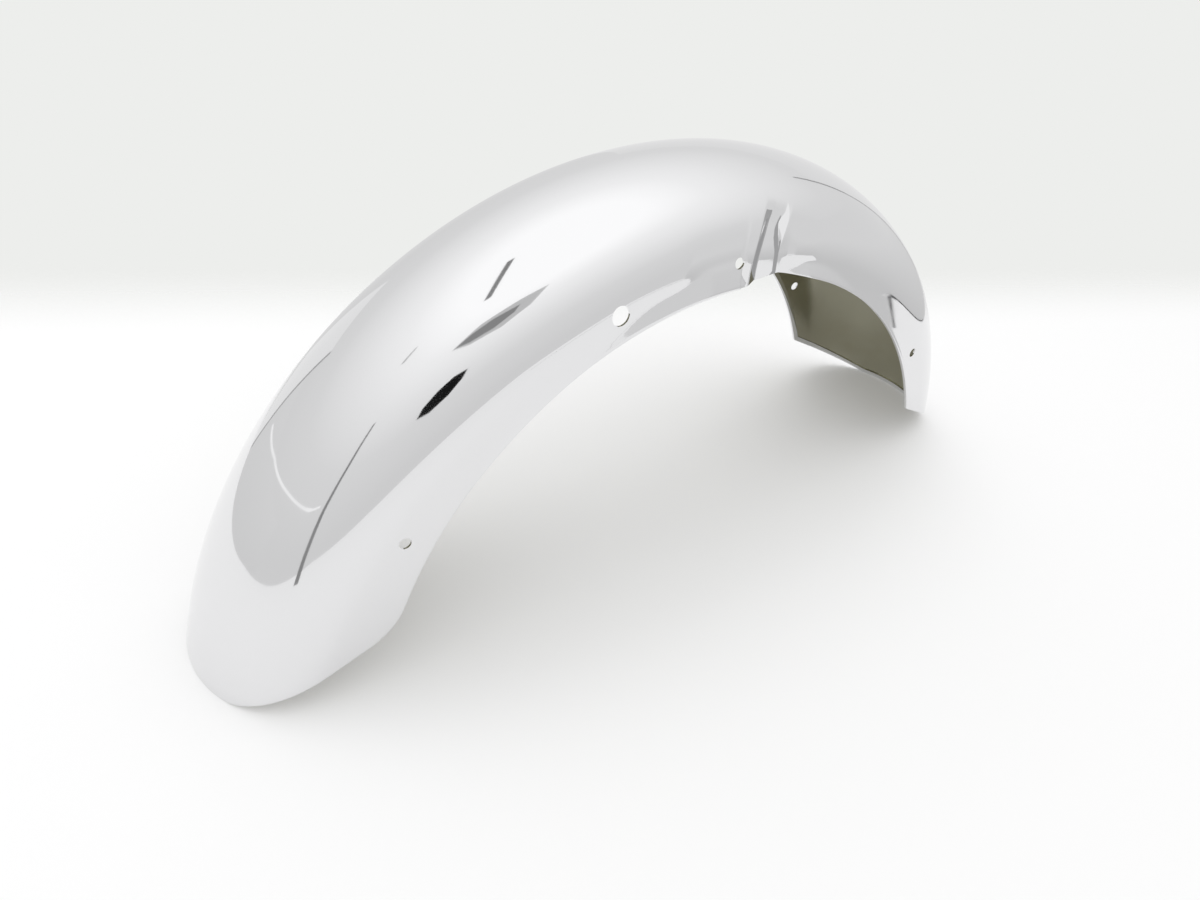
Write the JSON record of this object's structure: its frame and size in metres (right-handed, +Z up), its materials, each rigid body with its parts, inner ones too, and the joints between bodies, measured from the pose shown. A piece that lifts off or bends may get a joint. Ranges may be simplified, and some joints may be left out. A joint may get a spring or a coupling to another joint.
{
  "type": "motorcycle front mudguard",
  "caption": "Chromed pressed-steel front mudguard: a round-crowned arch with side walls, fork recesses, folded hems and bolt holes, which covers a motorcycle's front tyre.",
  "frame": {"origin": "on the ground, midway between the two tips that the guard stands on, in its plane of symmetry", "axes": "+X forward along the guard, +Y to its left side, +Z up; the wheel's axle is parallel to Y, 71.6 mm below the origin"},
  "size_m": [0.6852, 0.1416, 0.2783],
  "materials": {
    "chrome": "polished"
  },
  "bodies": {
    "root": {"mudguard_blade": "chrome"}
  },
  "joints": []
}
